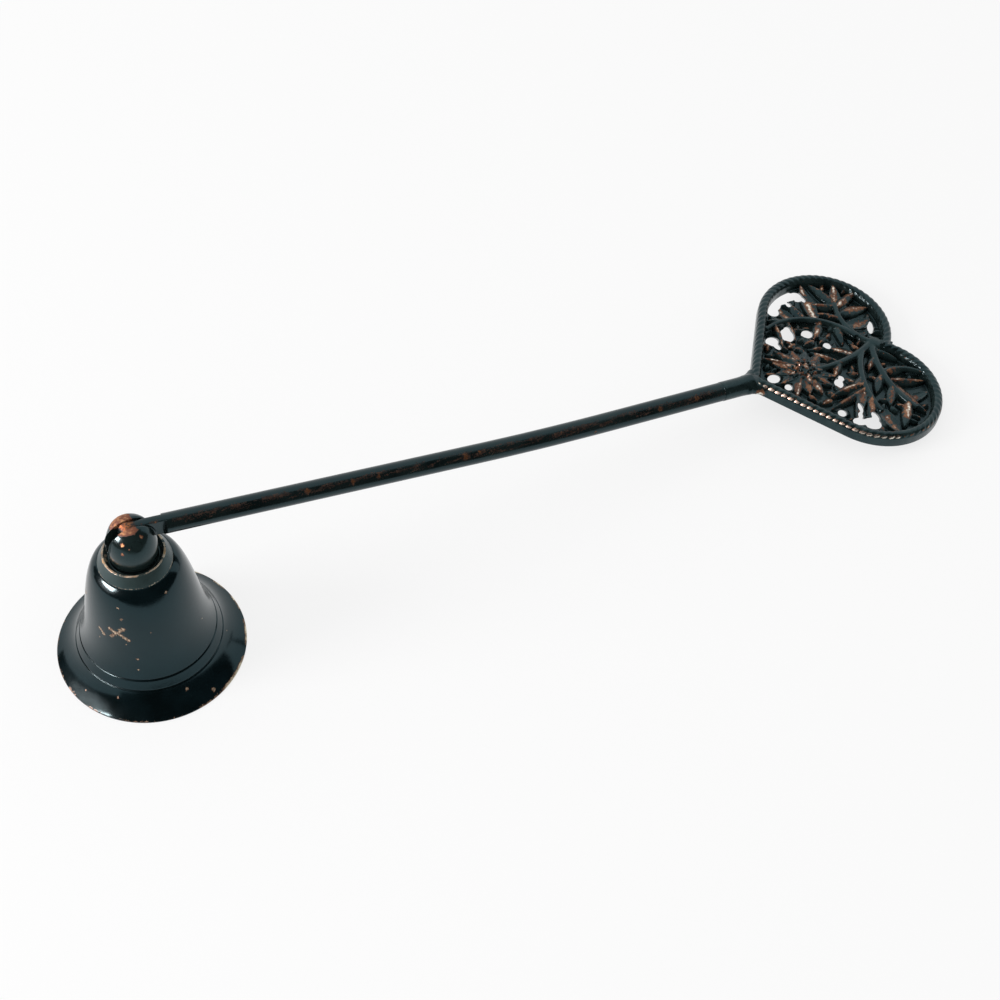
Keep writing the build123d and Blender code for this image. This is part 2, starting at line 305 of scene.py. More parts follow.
def bellOutside(shares):  # the flare and the side of the outside, at shares of each
    wallLine = curveThrough(bell["sidePoints"], shares)
    first = np.array(bell["sidePoints"][0])
    heading = first - curveThrough(bell["sidePoints"], [0.001])[0]
    heading /= np.linalg.norm(heading)
    chord = np.array([bell["mouthRadius"], bell["mouthEdge"]]) - first
    angle = atan2(chord[1], chord[0]) - atan2(heading[1], heading[0])
    flare = []
    for share in shares:
        turned = share * angle
        reach = np.linalg.norm(chord) * sin(turned) / sin(angle)
        flare.append(first + reach * np.array([
            heading[0] * cos(turned) - heading[1] * sin(turned),
            heading[0] * sin(turned) + heading[1] * cos(turned),
        ]))
    return np.array(flare[::-1][:-1]), wallLine


def movedAlong(line, distance):  # a line of points moved to its left
    slope = np.gradient(line, axis=0)
    slope /= np.linalg.norm(slope, axis=1)[:, None]
    return line + distance * np.stack([-slope[:, 1], slope[:, 0]], 1)


def bellOutline():
    byLines = np.linspace(0, bell["lineShare"], bell["lineRows"])
    dense = np.unique(np.concatenate([np.linspace(0, 1, bell["rows"]), byLines]))
    flare, wallLine = bellOutside(dense)
    outer = np.concatenate([flare, wallLine])
    inner = movedAlong(outer, bell["wall"])[::4]
    for linePoint in bell["sidePoints"][:2]:
        away = np.linalg.norm(outer - linePoint, axis=1)
        dip = bell["lineDepth"] * np.exp(-(away / bell["lineHalf"]) ** 2)
        outer = outer + (movedAlong(outer, 1.0) - outer) * dip[:, None]
    crownTop = bell["sidePoints"][-1][1]
    inner = inner[(inner[:, 1] > 0.02) & (inner[:, 1] < crownTop - bell["wall"])]
    crown = outer[-1]
    corners = [(x, z, 0) for x, z in outer[2:] if hypot(x - crown[0], z - crown[1]) > bell["crownClear"]]
    corners += [(*outer[-1], bell["crownRound"]), (bell["boreRadius"], crownTop, bell["boreRound"])]
    corners += [(bell["boreRadius"], crownTop - bell["wall"], bell["boreRound"])]
    corners += [(inner[-1][0] - 0.4, crownTop - bell["wall"], 0)]
    corners += [(x, z, 0) for x, z in inner[::-1]]
    corners += [(inner[0][0] + 0.1, 0.0, bell["innerLipRound"])]
    corners += [(bell["mouthRadius"], 0.0, bell["lipRound"])]
    corners += [(*outer[0], bell["lipRound"])]
    return rounded(corners), outer


bellSection, bellSide = bellOutline()


def onBell(azimuth, height):  # a point on the bell's outside
    radius = np.interp(height, bellSide[:, 1], bellSide[:, 0])
    return radius * cos(radians(azimuth)), radius * sin(radians(azimuth)), height


def bellWorn(tree, place, normal):
    nicks = spots(tree, place, [(onBell(azimuth, height), size) for azimuth, height, size in bell["chips"]])
    lines = [(onBell(a, z), onBell(b, w), size) for a, z, b, w, size in bell["scratches"]]
    inside, outside = (bell["mouthRadius"] - gap for gap in bell["rimWorn"])
    edge = put(tree, "MapRange", {0: axisRadius(tree, place), 1: inside, 2: outside}).outputs[0]
    run = clouds(tree, place, bell["rimPatchMm"], (0.35, 0.65), (0.1, 0.85))
    across = put(tree, "SeparateXYZ", {0: place}).outputs["X"]
    (left, right), (least, most) = bell["rightSide"], bell["rightGain"]
    paler = put(tree, "MapRange", {0: across, 1: left, 2: right, 3: least, 4: most}).outputs[0]
    edgeRun = put(tree, "Math", {0: run, 1: paler}, operation="MULTIPLY").outputs[0]
    rim = put(tree, "Math", {0: edge, 1: edgeRun}, operation="MULTIPLY").outputs[0]
    rare = clouds(tree, place, bell["fleckMm"], (0.70, 0.80), detail=6.0, rough=0.7)
    return strongest(tree, nicks, strokes(tree, place, lines), rim, rare)


bellLacquer = lacquerFinish("spun_brass_black_lacquer", bellLook, bellWorn)
newPiece("bellCup", newMesh("bellCup", *lathe(bellSection, bell["around"])), "bell_cup", "bell",
         bellLacquer)
print("bell cup:", len(bellSection), "points round its section")


# Crown collar: a turned cone with a dished top, its lip rubbed bright

collar = dict(
    base=36.2, top=39.4, baseRadius=9.3, topRadius=7.8, lip=0.5, dishRadius=6.4, dishFloor=38.0, bore=2.65,
    edgeRound=0.15, sideRound=0.12, dishRound=0.3, boreRound=0.05, around=192,
    lipWorn=0.16, lipInside=(0.6, 1.0), footWorn=(0.35, 0.05), footShare=0.75, patchMm=3.0,
    patches=[((-6.9, 1.0, 39.0), 1.3), ((-6.4, 2.2, 38.6), 0.9)],
)
# the lacquer drawn a lighter satin grey than the bell's, with a pale line on its edges
collarLook = dict(lacquer, dark="#263130", light="#303b39", rough=0.32, level=0.7, copper="#867a6c",
                  paleCopper="#c0b5a2", metal=0.3)


def collarWorn(tree, place, normal):
    radius = axisRadius(tree, place)
    height = put(tree, "SeparateXYZ", {0: place}).outputs["Z"]
    top = collar["top"]
    lipSide = put(tree, "MapRange", {0: height, 1: top - collar["lipWorn"], 2: top}).outputs[0]
    inside, outside = (collar["dishRadius"] + gap for gap in collar["lipInside"])
    lipIn = put(tree, "MapRange", {0: radius, 1: inside, 2: outside}).outputs[0]
    lip = put(tree, "Math", {0: lipSide, 1: lipIn}, operation="MULTIPLY").outputs[0]
    inside, outside = (collar["baseRadius"] - gap for gap in collar["footWorn"])
    foot = put(tree, "MapRange", {0: radius, 1: inside, 2: outside, 4: collar["footShare"]}).outputs[0]
    run = clouds(tree, place, collar["patchMm"], (0.35, 0.65), (0.55, 1.2))
    rubbed = put(tree, "Math", {0: strongest(tree, lip, foot), 1: run}, operation="MULTIPLY").outputs[0]
    return strongest(tree, rubbed, spots(tree, place, collar["patches"]))


collarLacquer = lacquerFinish("turned_brass_satin_lacquer", collarLook, collarWorn)
collarOutline = rounded([
    (collar["bore"], collar["base"], collar["boreRound"]),
    (collar["baseRadius"], collar["base"], collar["sideRound"]),
    (collar["topRadius"], collar["top"], collar["sideRound"]),
    (collar["topRadius"] - collar["lip"], collar["top"], collar["edgeRound"]),
    (collar["dishRadius"], collar["dishFloor"], collar["dishRound"]),
    (collar["bore"], collar["dishFloor"], collar["boreRound"]),
])
newPiece("crownCollar", newMesh("crownCollar", *lathe(collarOutline, collar["around"])), "crown_collar",
         "bell", collarLacquer, sharpAngle=60)
print("crown collar turned")


# Hinge ball: the turned ball with its slot, its edges rubbed round by use

ball = dict(
    voxelMm=0.11, smoothing=5, centre=44.0, radius=6.4, pedestal=6.1, foot=38.0, footClear=0.05, earGap=1.5,
    skinShare=0.8, profileRows=300,
    profile=[(5.6, 38.0), (6.0, 39.4), (6.2, 41.0), (6.25, 42.5), (6.1, 44.3), (5.55, 46.6), (4.45, 48.7),
             (2.6, 50.0), (0.0, 50.4)],
    crownSlope=(0.0, 0.25, 1.0), crownHeights=(48.5, 49.3), crownAcross=(2.6, 0.6), crownWear=0.78,
    chips=[((-3.1, -3.7, 48.2), 0.8), ((-3.9, -4.7, 45.9), 0.7), ((1.7, -3.9, 48.8), 0.6),
           ((-2.0, -5.1, 47.2), 0.4), ((3.4, 4.2, 47.4), 0.6), ((-1.0, 5.6, 46.9), 0.5)],
)


def softCopy(name, node, voxel, smoothing):  # the CAD node's shape with its sharp edges worn soft
    piece = bpy.data.objects.new(name, nodes[node].data.copy())
    bpy.context.scene.collection.objects.link(piece)
    remesh = piece.modifiers.new("even", "REMESH")
    remesh.mode = "VOXEL"
    remesh.voxel_size = voxel * mm
    smooth = piece.modifiers.new("soft", "SMOOTH")
    smooth.factor = 0.5
    smooth.iterations = smoothing
    mesh = applied(piece)
    bpy.data.objects.remove(piece)
    return mesh


def acornShape(mesh):  # the ball and its pedestal drawn into one smooth body
    points = np.empty(len(mesh.vertices) * 3)
    mesh.vertices.foreach_get("co", points)
    points = points.reshape(-1, 3) / mm
    height = points[:, 2]
    turned = np.sqrt(np.clip(ball["radius"] ** 2 - (height - ball["centre"]) ** 2, 0.01, None))
    turned = np.where(height < ball["centre"], np.maximum(turned, ball["pedestal"]), turned)
    profile = curveThrough(ball["profile"], np.linspace(0, 1, ball["profileRows"]))
    wanted = np.maximum(np.interp(height, profile[:, 1], profile[:, 0]), 0.1)
    outside = (np.abs(points[:, 1]) > ball["earGap"]) | (height < ball["centre"])
    reach = np.hypot(points[:, 0], points[:, 1])
    outside &= (height > ball["foot"] + ball["footClear"]) & (reach > ball["skinShare"] * turned)
    points[outside, :2] *= (wanted / turned)[outside, None]
    mesh.vertices.foreach_set("co", (points * mm).ravel())
    return mesh


def crownWorn(tree, place):  # where the ball and the tongue are rubbed to copper on top
    dot = put(tree, "VectorMath", {0: place, 1: ball["crownSlope"]}, operation="DOT_PRODUCT")
    uphill = dot.outputs["Value"]
    low, high = ball["crownHeights"]
    onTop = put(tree, "MapRange", {0: uphill, 1: low, 2: high, 4: ball["crownWear"]}).outputs[0]
    across = put(tree, "SeparateXYZ", {0: place}).outputs["X"]
    right, left = ball["crownAcross"]
    nearLeft = put(tree, "MapRange", {0: across, 1: right, 2: left}).outputs[0]
    return put(tree, "Math", {0: onTop, 1: nearLeft}, operation="MULTIPLY").outputs[0]


def ballWorn(tree, place, normal):
    return strongest(tree, spots(tree, place, ball["chips"]), crownWorn(tree, place))


# the lacquer dulled by handling, with a matt red-brown crown
ballLook = dict(lacquer, dark="#0f1818", light="#192322", rough=0.16, copper="#6a3a22",
                paleCopper="#7c4a30", metal=0.2, wornRough=0.75, grainMm=0.9, ragged=0.3, level=0.45)
ballLacquer = lacquerFinish("turned_ball_black_lacquer", ballLook, ballWorn)
ballMesh = acornShape(softCopy("hingeBall", "hinge_ball", ball["voxelMm"], ball["smoothing"]))
newPiece("hingeBall", ballMesh, "hinge_ball", "bell", ballLacquer, sharpAngle=180)
nodes["hinge_pin"].data.materials.clear()
nodes["hinge_pin"].data.materials.append(ballLacquer)
print("hinge ball and pin finished")


# Washer and nut inside the bell: plain turned brass, dulled by soot

# turned brass under candle soot: warm and dull, with faint rings that are drawn wider than the tool leaves
brassLook = dict(bright="#b98f4e", dull="#6e5330", rough=(0.3, 0.55), sootMm=2.5, turnMm=0.25,
                 turnDeepMm=0.05)


def sootyBrass():
    material, tree = blankMaterial("sooty_turned_brass")
    place = inMm(tree, put(tree, "TexCoord"))
    shade = clouds(tree, place, brassLook["sootMm"], (0.35, 0.65), detail=5.0)
    colour = put(tree, "Mix", {0: shade, 6: linear(brassLook["bright"]), 7: linear(brassLook["dull"])},
                 data_type="RGBA").outputs[2]
    rough = put(tree, "MapRange", {0: shade, 3: brassLook["rough"][0], 4: brassLook["rough"][1]}).outputs[0]
    turns = 2 * pi / brassLook["turnMm"]
    rings = put(tree, "Math", {0: axisRadius(tree, place), 1: turns}, operation="MULTIPLY")
    wave = put(tree, "Math", {0: rings.outputs[0]}, operation="SINE").outputs[0]
    bump = put(tree, "Bump", {"Height": wave, "Strength": 0.1, "Distance": brassLook["turnDeepMm"] * mm})
    shader = put(tree, "BsdfPrincipled", {
        "Base Color": colour, "Metallic": 1.0, "Roughness": rough, "Normal": bump.outputs[0],
    })
    put(tree, "OutputMaterial", {0: shader.outputs[0]})
    return material


nut = dict(bottom=30.1, height=4.0, acrossFlats=8.0, chamfer=0.45, bore=2.55, around=96)


def nutRows():  # hexagon with its corners chamfered at both ends
    turn = np.linspace(0, 2 * pi, nut["around"], endpoint=False)
    flats = nut["acrossFlats"] / 2 / np.cos((turn + pi / 6) % (pi / 3) - pi / 6)
    chamfered = np.minimum(flats, nut["acrossFlats"] / 2)
    bore = np.full_like(flats, nut["bore"])
    high, step = nut["height"], nut["chamfer"]
    rows = [(chamfered, 0), (flats, step), (flats, high - step), (chamfered, high), (bore, high), (bore, 0)]
    level = np.ones_like(turn)
    return [np.stack([radius * np.cos(turn), radius * np.sin(turn), level * (nut["bottom"] + height)], 1)
            for radius, height in rows]


brass = sootyBrass()
nodes["stud_washer"].data.materials.clear()
nodes["stud_washer"].data.materials.append(brass)
newPiece("studNut", newMesh("studNut", *tubeMesh(nutRows(), loop=True)), "stud_nut", "bell",
         brass, sharpAngle=25)
print("washer and nut finished")


# Handle rod: a round bar with a flat tongue at the hinge, a gentle bend and a spigot in the heart's neck

handle = dict(
    rodRadius=2.55, rodSlope=13.168, bendAngle=3.4, bendRadius=680.0, hingeToBend=114.3, bendToTip=62.9,
    neckLength=9.0, tongueHalf=1.1, tongueLength=8.6, shoulder=0.3, spigotRadius=1.5, spigotLength=6.0,
    pinHole=1.25, around=72, stepMm=2.0, eyeStart=0.12, eyeRows=12, tongueRows=8, shoulderRows=6,
    drillAround=48, drillHalf=4.0,
)
pivot = np.array(frame["joints"][0]["pos_m"]) / mm
bendTangent = handle["bendRadius"] * tan(radians(handle["bendAngle"]) / 2)
nearRun = handle["hingeToBend"] - bendTangent
bendRun = handle["bendRadius"] * radians(handle["bendAngle"])
rodLength = nearRun + bendRun + handle["bendToTip"] - bendTangent - handle["neckLength"]


def rodPlace(along):  # point and slope of the rod's axis at a distance from the pivot
    slope = radians(handle["rodSlope"])
    point = pivot + min(along, nearRun) * np.array([cos(slope), 0, -sin(slope)])
    if along > nearRun:
        turned = min(along - nearRun, bendRun) / handle["bendRadius"]
        middle = slope - turned / 2
        chord = 2 * handle["bendRadius"] * sin(turned / 2)
        point = point + chord * np.array([cos(middle), 0, -sin(middle)])
        slope -= turned
    if along > nearRun + bendRun:
        point = point + (along - nearRun - bendRun) * np.array([cos(slope), 0, -sin(slope)])
    return point, slope


def rodRows():
    radius = handle["rodRadius"]
    turn = np.linspace(0, 2 * pi, handle["around"], endpoint=False)
    eye = -radius * np.cos(np.linspace(handle["eyeStart"], pi / 2, handle["eyeRows"]))
    tongue = np.linspace(0, handle["tongueLength"], handle["tongueRows"])
    shoulder = handle["tongueLength"] + handle["shoulder"] * np.linspace(0, 1, handle["shoulderRows"])
    rest = np.linspace(shoulder[-1], rodLength, int(rodLength / handle["stepMm"]))[1:]
    rows = []
    for along in np.concatenate([eye, tongue[1:], shoulder[1:], rest]):
        point, slope = rodPlace(along)
        high = sqrt(radius ** 2 - along ** 2) if along < 0 else radius
        rise = np.clip((along - handle["tongueLength"]) / handle["shoulder"], 0, 1)
        wide = handle["tongueHalf"] + (radius - handle["tongueHalf"]) * sqrt(1 - (1 - rise) ** 2)
        across = np.clip(radius * np.sin(turn), -wide, wide)
        upward = np.clip(radius * np.cos(turn), -high, high)
        rows.append(point + across[:, None] * [0, 1, 0] + upward[:, None] * [sin(slope), 0, cos(slope)])
    for along in (rodLength, rodLength + handle["spigotLength"]):
        point, slope = rodPlace(along)
        ring = handle["spigotRadius"]
        rows.append(point + ring * np.sin(turn)[:, None] * [0, 1, 0]
                    + ring * np.cos(turn)[:, None] * [sin(slope), 0, cos(slope)])
    return rows


# drawn rod, its lacquer thinned by the hand into long brown streaks on the upper side
rodLook = dict(
    lacquer, level=0.45, ragged=0.55, dark="#0b1212", light="#161e1d", copper="#261812",
    paleCopper="#463024", brass="#8c5e3e", metal=0.3, rough=0.2, grainMm=0.45, streakMm=(14.0, 0.9, 0.9),
    handledSide=(0.0, -0.567, 0.824), handledFrom=(0.78, 0.96), tongueWear=1.25,
    chips=[((6.4, -1.0, 48.3), 0.7), ((88.0, -1.7, 28.8), 1.7), ((92.1, -1.4, 28.1), 0.8),
           ((57.0, -1.6, 36.1), 1.3), ((45.0, -1.5, 39.0), 1.3), ((64.0, -1.7, 34.4), 1.0),
           ((125.1, -2.5, 19.4), 0.6), ((144.6, -1.7, 17.5), 1.2), ((156.0, -1.5, 15.7), 1.3)],
)


def rodWorn(tree, place, normal):
    facing = put(tree, "VectorMath", {0: normal, 1: rodLook["handledSide"]}, operation="DOT_PRODUCT")
    least, full = rodLook["handledFrom"]
    side = put(tree, "MapRange", {0: facing.outputs["Value"], 1: least, 2: full}).outputs[0]
    stretch = put(tree, "VectorMath", {0: place, 1: rodLook["streakMm"]}, operation="DIVIDE").outputs[0]
    strong = clouds(tree, stretch, 1.0, (0.36, 0.62), (0.0, 0.7), detail=5.0, rough=0.65)
    streak = put(tree, "Math", {0: side, 1: strong}, operation="MULTIPLY").outputs[0]
    crown = crownWorn(tree, place)
    tongueEnd = put(tree, "Math", {0: crown, 1: rodLook["tongueWear"]}, operation="MULTIPLY").outputs[0]
    return strongest(tree, streak, spots(tree, place, rodLook["chips"]), tongueEnd)


def drillRows():  # the pin's hole across the tongue
    turn = np.linspace(0, 2 * pi, handle["drillAround"], endpoint=False)
    across, up = handle["pinHole"] * np.cos(turn), handle["pinHole"] * np.sin(turn)
    ends = (-handle["drillHalf"], handle["drillHalf"])
    return [pivot + np.stack([across, np.full_like(turn, y), up], 1) for y in ends]


rodLacquer = lacquerFinish("drawn_rod_black_lacquer", rodLook, rodWorn)
rodMesh = newMesh("handleRod", *tubeMesh(rodRows()))
rodPiece = bpy.data.objects.new("rodBlank", rodMesh)
drill = bpy.data.objects.new("drill", newMesh("drill", *tubeMesh(drillRows())))
for part in (rodPiece, drill):
    bpy.context.scene.collection.objects.link(part)
bore = rodPiece.modifiers.new("pin hole", "BOOLEAN")
bore.object = drill
bore.solver = "EXACT"
rodMesh = applied(rodPiece)
for part in (rodPiece, drill):
    bpy.data.objects.remove(part)
newPiece("handleRod", rodMesh, "handle_rod", "handle", rodLacquer, sharpAngle=35)
print("handle rod:", len(rodMesh.polygons), "faces")


# Heart grip: an openwork casting, with a rope edge, stems, leaves and a flower

heart = dict(
    lobeRadius=18.95, lobeAlong=32.45, lobeOverlap=5.8, rimWidth=2.8, rimHalf=2.05, rimStep=0.16,
    ropeRadius=1.3, ropeHeight=0.9, ropeStrands=3, ropePitch=1.9, ropeDip=0.12, ropeAround=40,
    wallHalf=1.36, wallTop=1.1, footRound=0.35, wallRound=0.3,
    # the glint values paint highlights: near-white dashes on the crests of the near side's rope strands,
    # where light glints
    glintTurn=154, glintHalf=11, crestShare=0.4, bendBefore=4, dashGlint=5.0, bendGlint=0.9,
    stemRadius=1.1, mainStems=(0, 3, 5), mainShare=1.15, stemTaper=0.6, stemTop=0.85, stemRise=0.55,
    stemLow=-1.0, stemAround=20, stemRows=40,
    leafThick=1.3, leafShare=0.74, bladeRows=44, bladeAcross=17, bladeEdge=0.12, toothDepth=0.07,
    veinMm=0.75, veinHeight=0.07, ribHeight=0.15, ribHalf=0.3,  # veins drawn coarser than life, to show
    flower=(0.33, -0.03), stamens=26, stamenStep=0.72, stamenTurn=2.39996, stamenRadius=0.5,
    root=(0.82, 0.07), rootRadius=2.7, sideRoot=(2.6, -1.2), sideRootRadius=2.2,
    fillStart=3, fillStep=0.4, fillGap=0.9, fillCount=90, borderStep=0.3,
    sightShift=(0.54, 0.74),  # how far the view slips along and across for each mm of depth
    holeShift=(1.05, 0.6), holeAround=28, holeLow=-3.2, holeTop=3.6, holeVoxelMm=0.2,
    webLow=-1.75, webTop=-0.95, webStep=0.4, voxelMm=0.13, smoothing=2, faces=190000,
)
openings = [  # middle, half sizes and turn in degrees of each hole in the leafwork, in mm from the tip
    (20.3, 21.9, 1.7, 1.8, 0), (21.9, 24.2, 2.0, 2.0, 0), (24.6, 25.5, 2.0, 2.0, 0),
    (27.5, 25.9, 2.0, 1.9, 0), (29.9, 25.0, 1.7, 1.9, 0), (31.0, 23.5, 0.8, 1.2, 0),
    (25.9, 22.9, 0.8, 0.9, 0),
    (13.8, 11.7, 1.9, 1.6, 0), (14.2, 9.7, 0.8, 1.5, 10), (19.3, 12.5, 1.9, 2.5, -15),
    (20.5, 14.5, 0.9, 1.0, 0), (24.9, 11.1, 1.75, 1.5, 0), (28.1, 5.3, 1.2, 1.2, 0),
    (44.2, 7.8, 0.9, 2.5, -30), (6.8, -1.0, 1.9, 1.5, 0), (9.1, -5.1, 1.1, 1.1, 0),
    (23.6, -8.3, 1.3, 1.6, -20), (25.3, -6.8, 0.85, 1.0, 0),
    (18.4, -18.3, 1.2, 1.2, 0), (24.3, -18.2, 0.8, 1.9, -15), (22.8, -20.6, 0.9, 1.2, -30),
    (21.4, -22.5, 2.0, 1.3, -25), (24.5, -24.3, 2.6, 2.0, -35), (26.4, -22.4, 1.1, 1.9, 0),
    (47.2, -3.1, 0.6, 1.6, 20),
]
stems = [  # start, middle and end in shares of the heart's length and half width
    ((0.91, 0.00), (0.85, 0.06), (0.80, 0.08)),
    ((0.82, 0.06), (0.74, 0.30), (0.77, 0.60)),
    ((0.75, 0.19), (0.61, 0.46), (0.29, 0.51)),
    ((0.80, 0.08), (0.60, -0.03), (0.33, -0.03)),
    ((0.72, 0.02), (0.61, -0.28), (0.58, -0.66)),
    ((0.80, 0.06), (0.74, -0.28), (0.78, -0.72)),
    ((0.745, -0.26), (0.85, -0.27), (0.95, -0.38)),
]
leaves = [  # base and tip in the same shares, width as a share of the length
    ((0.60, 0.46), (0.66, 0.90), 0.095),
    ((0.55, 0.50), (0.53, 0.735), 0.085),
    ((0.48, 0.53), (0.435, 0.72), 0.085),
    ((0.44, 0.55), (0.33, 0.61), 0.060),
    ((0.44, 0.55), (0.41, 0.32), 0.055),
    ((0.36, 0.54), (0.31, 0.27), 0.045),
    ((0.62, 0.45), (0.52, 0.29), 0.075),
    ((0.736, 0.42), (0.63, 0.55), 0.070),
    ((0.76, 0.55), (0.84, 0.81), 0.080),
    ((0.743, 0.48), (0.94, 0.48), 0.100),
    ((0.74, 0.33), (0.90, 0.34), 0.100),
    ((0.745, 0.24), (0.84, 0.21), 0.060),
    ((0.762, 0.57), (0.65, 0.66), 0.070),
    ((0.762, 0.57), (0.71, 0.89), 0.075),
    ((0.757, 0.55), (0.93, 0.67), 0.075),
    ((0.684, 0.36), (0.65, 0.15), 0.060),
    ((0.674, 0.00), (0.56, 0.14), 0.060),
    ((0.56, -0.03), (0.44, 0.16), 0.075),
    ((0.57, -0.03), (0.47, -0.18), 0.060),
    ((0.62, -0.24), (0.49, -0.37), 0.070),
    ((0.60, -0.33), (0.37, -0.37), 0.070),
    ((0.593, -0.37), (0.33, -0.49), 0.060),
    ((0.60, -0.36), (0.42, -0.66), 0.065),
    ((0.59, -0.46), (0.48, -0.72), 0.065),
    ((0.58, -0.60), (0.59, -0.92), 0.100),
    ((0.74, -0.26), (0.63, -0.45), 0.070),
    ((0.745, -0.42), (0.65, -0.62), 0.070),
    ((0.765, -0.62), (0.64, -0.87), 0.080),
    ((0.738, -0.36), (0.82, -0.78), 0.100),
    ((0.75, -0.27), (0.90, -0.28), 0.075),
    ((0.738, -0.34), (0.94, -0.46), 0.075),
    ((0.757, -0.60), (0.91, -0.58), 0.070),
    ((0.79, 0.01), (0.88, -0.17), 0.060),
    ((0.77, -0.08), (0.68, -0.20), 0.055),
    ((0.33, -0.03), (0.165, 0.225), 0.060),
    ((0.33, -0.03), (0.25, 0.27), 0.055),
    ((0.33, -0.03), (0.185, -0.29), 0.060),
]
lobeAcross = heart["lobeRadius"] - heart["lobeOverlap"]
heartLength = heart["lobeAlong"] + heart["lobeRadius"]
heartHalf = lobeAcross + heart["lobeRadius"]
lobeReach = hypot(heart["lobeAlong"], lobeAcross)
sideAngle = atan2(lobeAcross, heart["lobeAlong"]) + asin(heart["lobeRadius"] / lobeReach)
tipPoint, heartSlope = rodPlace(rodLength + handle["neckLength"])
heartFrame = np.array([
    [cos(heartSlope), 0, -sin(heartSlope)],
    [0, 1, 0],
    [sin(heartSlope), 0, cos(heartSlope)],
])
rimParts = []  # (points, faces) of the rim and the neck, in the heart's own axes
leafParts = []  # the same for the leafwork, which the holes are cut through
samples = []  # (point, how much the top is rubbed to copper; the rope's dashes carry higher values, which paint highlights)


def heartPoint(shares):  # shares of the heart's length and half width, in mm
    return np.array([shares[0] * heartLength, shares[1] * heartHalf])


def addPart(points, faces, rubbed, group=leafParts):
    group.append((np.asarray(points, float), faces))
    samples.extend((point, rubbed) for point in np.asarray(points))


def rimLine(inset, side, step=heart["rimStep"]):  # from the tip to the cleft, evenly spaced
    radius = heart["lobeRadius"] - inset
    start = sideAngle + pi / 2
    end = -asin(lobeAcross / radius)
    centre = np.array([heart["lobeAlong"], lobeAcross])
    tip = np.array([inset / sin(sideAngle), 0])
    arcStart = centre + radius * np.array([cos(start), sin(start)])
    straight = np.linalg.norm(arcStart - tip)
    shares = np.linspace(0, 1, int(straight / step), endpoint=False)
    line = [tip + (arcStart - tip) * share for share in shares]
    bend = np.linspace(start, end, int(radius * (start - end) / step))
    line = np.array(line + [centre + radius * np.array([cos(t), sin(t)]) for t in bend])
    return line * [1, side]


def sweep(line, section):  # section(i) gives (across, height) points at point i of a flat line
    slope = np.gradient(line, axis=0)
    slope /= np.linalg.norm(slope, axis=1)[:, None]
    rows = []
    for i, (point, heading) in enumerate(zip(line, slope)):
        across, height = section(i)
        flat = point + across[:, None] * [-heading[1], heading[0]]
        rows.append(np.column_stack([flat, height]))
    return tubeMesh(rows)


def ropeSection(i, side):  # a slice of the twisted rope at point i of the rim
    turn = np.linspace(0, 2 * pi, heart["ropeAround"], endpoint=False)
    lead = heart["ropePitch"] * heart["ropeStrands"]
    phase = heart["ropeStrands"] / 2 * (turn - side * 2 * pi * i * heart["rimStep"] / lead)
    radius = heart["ropeRadius"] * (1 - heart["ropeDip"] * (1 - np.abs(np.cos(phase))))
    return radius * np.cos(turn), heart["ropeHeight"] + radius * np.sin(turn)


wallSection = rounded([
    (-heart["wallHalf"], -heart["rimHalf"], heart["footRound"]),
    (heart["wallHalf"], -heart["rimHalf"], heart["footRound"]),
    (heart["wallHalf"], heart["wallTop"], heart["wallRound"]),
    (-heart["wallHalf"], heart["wallTop"], heart["wallRound"]),
])
for side in (1, -1):
    line = rimLine(heart["rimWidth"] / 2, side)
    ropePoints, ropeFaces = sweep(line, lambda i: ropeSection(i, side))
    rimParts.append((ropePoints, ropeFaces))
    middle = np.repeat(line, heart["ropeAround"], axis=0)
    reach = np.hypot(middle[:, 0] - ropePoints[:, 0], middle[:, 1] - ropePoints[:, 1])
    reach = np.hypot(reach, ropePoints[:, 2] - heart["ropeHeight"])
    # Painted highlights: near-side strand crests that face one way get near-white dashes, brightest on the
    # straight side
    crest = reach > heart["ropeRadius"] * (1 - heart["crestShare"] * heart["ropeDip"])
    turn = np.tile(np.linspace(0, 2 * pi, heart["ropeAround"], endpoint=False), len(line))
    facing = np.abs(turn - radians(heart["glintTurn"])) < radians(heart["glintHalf"])
    glinting = crest & facing & (side < 0)  # painted highlights: near-white dashes on the strand crests of the near side
    straight = ropePoints[:, 0] < heart["lobeAlong"] - heart["bendBefore"]
    ropeWearAndGlint = np.where(glinting, np.where(straight, heart["dashGlint"], heart["bendGlint"]), 0.04)
    samples.extend(zip(ropePoints, ropeWearAndGlint))
    addPart(*sweep(line[::3], lambda i: (wallSection[:, 0], wallSection[:, 1])), 0.05, rimParts)


def arcThrough(start, middle, end, count):
    a, b, c = heartPoint(start), heartPoint(middle), heartPoint(end)
    system = 2 * np.array([b - a, c - a])
    centre = np.linalg.solve(system, [b @ b - a @ a, c @ c - a @ a])
    angles = [atan2(*(p - centre)[::-1]) for p in (a, b, c)]
    sweepAll = (angles[2] - angles[0]) % (2 * pi)
    if (angles[1] - angles[0]) % (2 * pi) > sweepAll:
        sweepAll -= 2 * pi
    turn = angles[0] + np.linspace(0, sweepAll, count)
    return centre + np.linalg.norm(a - centre) * np.stack([np.cos(turn), np.sin(turn)], 1)


def stemPart(points, thick, thin, top):  # a tapering round stem, flat below
    turn = np.linspace(0, 2 * pi, heart["stemAround"], endpoint=False)
    radii = np.linspace(thick, thin, len(points))[:, None]
    across = radii * np.cos(turn)
    height = np.maximum(top - radii + radii * np.sin(turn) + heart["stemRise"], heart["stemLow"])
    return sweep(points, lambda i: (across[i], height[i]))


for number, layout in enumerate(stems):
    thick = heart["stemRadius"] * (heart["mainShare"] if number in heart["mainStems"] else 1.0)
    line = arcThrough(*layout, heart["stemRows"])
    addPart(*stemPart(line, thick, heart["stemTaper"] * thick, heart["stemTop"]), 0.08)


